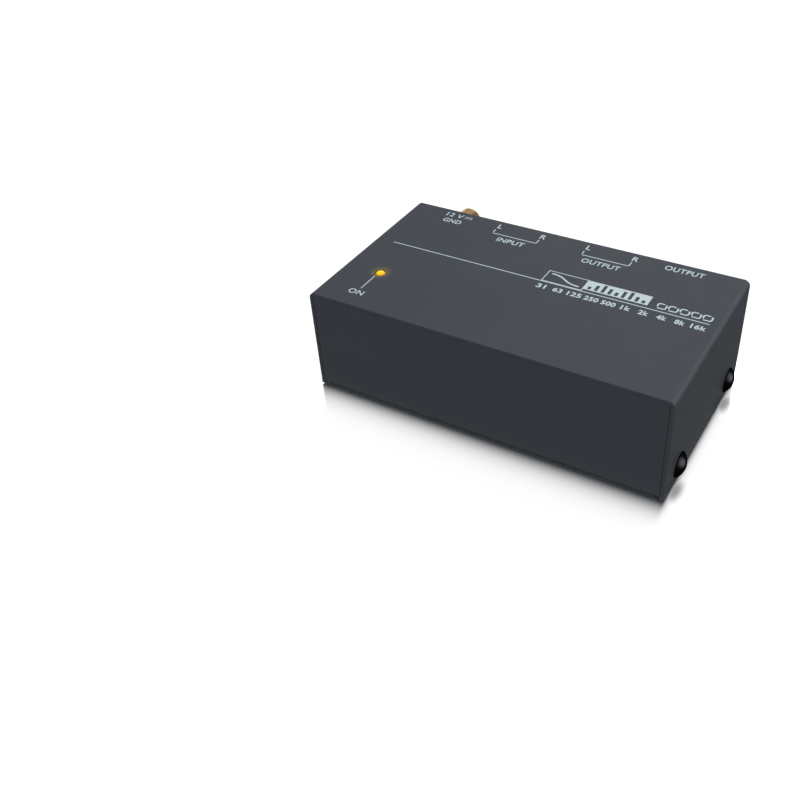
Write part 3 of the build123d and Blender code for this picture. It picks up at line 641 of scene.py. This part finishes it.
def raise_lines(made, width=line_width):
    """In edit mode, draws open edges up into a wall and gives it the line's width."""
    bpy.ops.mesh.select_all(action="SELECT")
    bpy.ops.mesh.extrude_edges_move(TRANSFORM_OT_translate=ink_rise)
    bpy.ops.object.mode_set(mode="OBJECT")
    wall = made.modifiers.new("width", "SOLIDIFY")
    wall.thickness = width
    wall.offset = 0
    wall.use_even_offset = True
    bpy.ops.object.modifier_apply(modifier=wall.name)
    return close_up(made)


def edges_only(left, right, low, high):
    """A rectangle's four edges, in edit mode."""
    made = flat("outline", left, right, low, high)
    bpy.ops.object.mode_set(mode="EDIT")
    bpy.ops.mesh.select_all(action="SELECT")
    bpy.ops.mesh.delete(type="ONLY_FACE")
    return made


def outline(left, right, low, high, width, corner=0.0):
    """A closed printed line round a rectangle, with its corners cut by this many millimetres."""
    made = edges_only(left, right, low, high)
    if corner:
        bpy.ops.mesh.select_all(action="SELECT")
        bpy.ops.mesh.bevel(offset=corner * mm, affect="VERTICES")
    return raise_lines(made, width)


def bracket(left, right, low, high, corner=0.3):
    """A line with both ends turned up and its corners cut."""
    made = edges_only(left, right, low, high)
    top = high * mm + case_middle
    bottom = low * mm + case_middle
    pick(made, "EDGE", lambda middle: abs(middle.y - top) < near)
    bpy.ops.mesh.delete(type="EDGE")
    pick(made, "VERT", lambda middle: abs(middle.y - bottom) < near)
    bpy.ops.mesh.bevel(offset=corner * mm, affect="VERTICES")
    return raise_lines(made)


def word(letters, left, right, low, high, weight=0.012):
    """Printed letters that fill a box. More weight makes their strokes thicker."""
    bpy.ops.object.select_all(action="DESELECT")
    bpy.ops.object.text_add()
    made = bpy.context.object
    made.data.body = letters
    made.data.offset = weight
    made.data.extrude = 0.05  # any height does, because the box sets it
    made.data.resolution_u = 5
    made.data.space_character = 1.06
    bpy.ops.object.convert(target="MESH")
    made = bpy.context.object
    places = [corner.co for corner in made.data.vertices]
    least = Vector([min(place[i] for place in places) for i in range(3)])
    most = Vector([max(place[i] for place in places) for i in range(3)])
    box_low = Vector((left * mm, low * mm + case_middle, cover_top))
    box_high = Vector((right * mm, high * mm + case_middle, cover_top + ink_height))
    scale = [(box_high[i] - box_low[i]) / (most[i] - least[i]) for i in range(3)]
    made.scale = scale
    made.location = [box_low[i] - least[i] * scale[i] for i in range(3)]
    bpy.ops.object.transform_apply(location=True, rotation=True, scale=True)
    return close_up(made)


print("print tools ready")

# %% [markdown]
# ## Marks for the light, the power jack and the ground screw
# A short leader runs from the light to its word. Near the back edge stand the supply voltage with the
# sign for direct current, a solid bar over a broken one, and the ground terminal's mark.

# %% Power marks
leader = stroke(-39.95, -39.65, -20.4, -13.6)
join("print_light_mark", [word("ON", -42.3, -37.7, -23.5, -21.4), leader])

dash_left, dash_width, dash_pitch = -33.3, 0.6, 0.9
dashes = []
for i in range(3):
    left = dash_left + i * dash_pitch
    dashes.append(stroke(left, left + dash_width, 25.35, 25.6))
solid_bar = stroke(dash_left, dash_left + 2 * dash_pitch + dash_width, 26.1, 26.35)
join("print_supply_mark", [word("12 V", -39.4, -34.0, 24.75, 26.85), solid_bar, *dashes])
join("print_ground_mark", [word("GND", -38.8, -32.9, 21.4, 23.5)])

# %% [markdown]
# ## Marks for the sockets
# Each pair of phono sockets has its letters at the back edge and a bracket that gathers both under one
# word. One function places a pair's marks from the axis of its left socket, so both pairs match.

# %% Socket marks
def pair(name, first, letters, left, right):
    """The marks of one pair of sockets, from the axis of its left one."""
    last = first + socket_pitch / mm
    marks = [
        word("L", first + 1.1, first + 2.45, 24.45, 26.7),
        word("R", last + 0.8, last + 2.55, 24.3, 26.6),
        bracket(first + 1.25, last + 1.25, 21.4, 23.55),
        word(letters, left, right, 17.8, 19.95),
    ]
    join(name, marks)


pair("print_input_marks", -23.0, "INPUT", -18.8, -10.3)
pair("print_output_marks", 5.0, "OUTPUT", 7.55, 18.7)
join("print_stereo_mark", [word("OUTPUT", 29.25, 40.15, 24.0, 26.3)])

# %% [markdown]
# ## The long line and its plain graphic
# A hair line crosses the cover, and a graphic block stands on it near the right end. The block is a plain
# one for a sound circuit: a frame with a response curve, a pale plate with level bars, a row of step
# boxes, and a number scale below the line. The frame, the curve and the boxes are outlines, so they are
# raised as lines. The plate is a grid with the bars' faces taken out.

# %% The long line
join("print_long_line", [stroke(-45.1, 48.35, 4.28, 4.58)])

# %% Frame and curve
frame_width = 0.26 * mm
curve_width = 0.5 * mm
framed = outline(2.1, 13.6, 4.75, 10.05, frame_width)

bpy.ops.object.select_all(action="DESELECT")
bpy.ops.curve.primitive_bezier_curve_add(location=(0, case_middle, cover_top))
response = bpy.context.object
points = response.data.splines[0].bezier_points
curve_high, curve_low = 8.9, 6.0
bends = ((2.5, 3.3, 8.2, curve_high), (7.2, 12.4, 12.8, curve_low))
for point, (before, at, after, level) in zip(points, bends):
    point.handle_left_type = point.handle_right_type = "FREE"
    point.co = (at * mm, level * mm, 0)
    point.handle_left = (before * mm, level * mm, 0)
    point.handle_right = (after * mm, level * mm, 0)
bpy.ops.object.convert(target="MESH")
bpy.ops.object.transform_apply(location=True, rotation=True, scale=True)
response = bpy.context.object
bpy.ops.object.mode_set(mode="EDIT")
join("print_curve_frame", [framed, raise_lines(response, curve_width)])

# %% Plate with level bars
bar_rows = (3, 6, 8, 6, 4, 7, 8, 5, 3)
columns = 2 * len(bar_rows) + 1
rows = 10
plate_left, plate_right, plate_low, plate_high = 13.7, 31.55, 5.65, 10.05
plate = flat("plate", plate_left, plate_right, plate_low, plate_high, columns, rows)
step_x = (plate_right - plate_left) / columns
step_y = (plate_high - plate_low) / rows


def in_a_bar(middle):
    """True for the faces that a level bar leaves bare."""
    column = int((middle.x / mm - plate_left) / step_x)
    row = int(((middle.y - case_middle) / mm - plate_low) / step_y)
    return column % 2 == 1 and 1 <= row <= bar_rows[column // 2]


bpy.ops.object.mode_set(mode="EDIT")
pick(plate, "FACE", in_a_bar)
bpy.ops.mesh.delete(type="FACE")
join("print_level_plate", [raise_faces(plate)])

# %% Step boxes and number scale
box_left, box_width, box_pitch = 33.95, 2.3, 3.0
box_line, box_corner = 0.42 * mm, 0.35
boxes = []
for i in range(5):
    left = box_left + i * box_pitch
    boxes.append(outline(left, left + box_width, 5.8, 8.0, box_line, box_corner))
join("print_step_boxes", boxes)

numbers = ("31", "63", "125", "250", "500", "1k", "2k", "4k", "8k", "16k")
scale_left, scale_right = 3.3, 46.3
figure_half = 0.66
figure_weight = 0.03
figures = []
for i, number in enumerate(numbers):
    middle = scale_left + (scale_right - scale_left) * i / (len(numbers) - 1)
    half = len(number) * figure_half
    figures.append(word(number, middle - half, middle + half, 1.05, 3.05, figure_weight))
join("print_number_scale", figures)

# %% [markdown]
# ## The studio
# The object stands on a white, polished floor in an evenly white room. A large soft lamp hangs behind it,
# so the top is brightest and the front is darkest, and the room adds an even fill. The room shows pure
# white to the camera and to the gloss of the object, which Light Path tells apart from the light that
# falls on the object. The floor's polish shows only close to the case: it fades out within about a
# centimetre of the front and the back, and sooner at the sides. The two screws of the right side hang
# over the floor a little further out, so a soft spot of polish below each shows its reflection.

# %% The white room
world = bpy.data.worlds.new("white_room")
bpy.context.scene.world = world
world.use_nodes = True
world.node_tree.nodes.clear()
room = Wire(world.node_tree)


def seen(start):
    """1 for what the camera sees, straight or in gloss or glass."""
    straight = start.node("LightPath", output="Is Camera Ray")
    gloss = start.node("LightPath", output="Is Glossy Ray")
    through = start.node("LightPath", output="Is Transmission Ray")
    return start.maths("MAXIMUM", start.maths("MAXIMUM", straight, gloss), through)


fill = 0.62
strength = between(room, fill, 1.0, seen(room))
backdrop = room.node("Background", {"Color": white, "Strength": strength})
room.node("OutputWorld", {"Surface": backdrop})
print("fill", fill)

# %% The floor
case_half = (51.5 * mm, 28.5 * mm, 0)
fade_length = 4.1 * mm
fade_curve = 1.35
side_fade = 4.1  # how much sooner the polish fades at the sides
left_over = 0.368  # of the polish, one fade length out
floor_finish, floor = new_finish("polished_floor")
offset = vectors(floor, "SUBTRACT", place_on(floor), (0, case_middle, 0))
offset = vectors(floor, "ABSOLUTE", offset)
offset = vectors(floor, "SUBTRACT", offset, case_half)
offset = vectors(floor, "MAXIMUM", offset, (0, 0, 0))
beyond = length(floor, offset, (side_fade, 1, 0))
polish = floor.maths("POWER", left_over, floor.maths("POWER", beyond * (1 / fade_length), fade_curve))

head_half = 3.5 * mm
spot_shift = (-0.7 * mm, -4.9 * mm)  # from the head's outermost point towards the viewer
spot_shape = (2.4, 1, 0)
spot_inner, spot_outer = 1 * mm, 6.5 * mm
spot_polish = 0.68
screw_low, screw_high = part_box("cover_screws")
for head_y in (screw_low.y + head_half, screw_high.y - head_half):
    spot_at = (screw_high.x + spot_shift[0], head_y + spot_shift[1], 0)
    from_spot = away_from(floor, spot_at, spot_shape)
    spot = between(floor, spot_polish, 0, from_spot, spot_inner, spot_outer, "SMOOTHSTEP")
    polish = floor.maths("MAXIMUM", polish, spot)

near_white, gap_light = 0.86, 0.014
far_from, far_to = 0.3, 0.9
whiteness = between(floor, near_white, 1.0, beyond, far_from, far_to)
matt = floor.node("BsdfDiffuse", {"Color": (0.3, 0.3, 0.3, 1)})
shine = floor.node("Emission", {"Color": white, "Strength": seen(floor) * whiteness})
mirror = floor.node("BsdfGlossy", {"Color": white, "Roughness": 0.05})
glimmer = floor.node("Emission", {"Color": white, "Strength": seen(floor) * gap_light})
paper = floor.node("AddShader", {0: matt, 1: shine})
gloss = floor.node("AddShader", {0: mirror, 1: glimmer})
floor.node("OutputMaterial", {"Surface": floor.node("MixShader", {0: polish, 1: paper, 2: gloss})})

floor_width = 6
bpy.ops.object.select_all(action="DESELECT")
bpy.ops.mesh.primitive_plane_add(size=floor_width)
ground = bpy.context.object
ground.name = "floor"
ground.data.materials.append(floor_finish)
half_left = fade_length * math.log(2) ** (1 / fade_curve)
print("floor", floor_width, "m wide, half of the polish left", round(half_left / mm, 1), "mm out")


# %% The lamp
def soft_lamp(name, place, size, power):
    """A square lamp that looks at the object."""
    bpy.ops.object.light_add(type="AREA", location=place)
    lamp = bpy.context.object
    lamp.name = name
    lamp.data.shape = "SQUARE"
    lamp.data.size = size
    lamp.data.energy = power
    lamp.rotation_euler = (-Vector(place)).to_track_quat("-Z", "Y").to_euler()


soft_lamp("rear_softbox", place=(-0.1, 0.75, 0.55), size=0.6, power=4.2)

# %% [markdown]
# ## The camera
# A near view through a normal lens, from the front right, looking down at about 38 degrees. The place and
# two of the camera's directions are written out, and the third is square to both, so the picture doesn't
# depend on any target object.

# %% Camera
camera_data = bpy.data.cameras.new("camera")
camera_data.sensor_width = 36
camera_data.lens = 43.94
camera_data.shift_x = -0.03
camera_data.shift_y = -0.03
camera = bpy.data.objects.new("camera", camera_data)
bpy.context.scene.collection.objects.link(camera)
stand_at = Vector((0.09758, -0.20336, 0.17459))
to_right = Vector((0.854, 0.51725, -0.05606))
to_top = Vector((-0.28094, 0.54915, 0.78709))
turned = Matrix((to_right, to_top, to_right.cross(to_top))).transposed().to_4x4()
camera.matrix_world = Matrix.Translation(stand_at) @ turned
bpy.context.scene.camera = camera
bpy.context.scene.view_settings.view_transform = "Standard"
print("camera at", [round(v, 3) for v in stand_at])
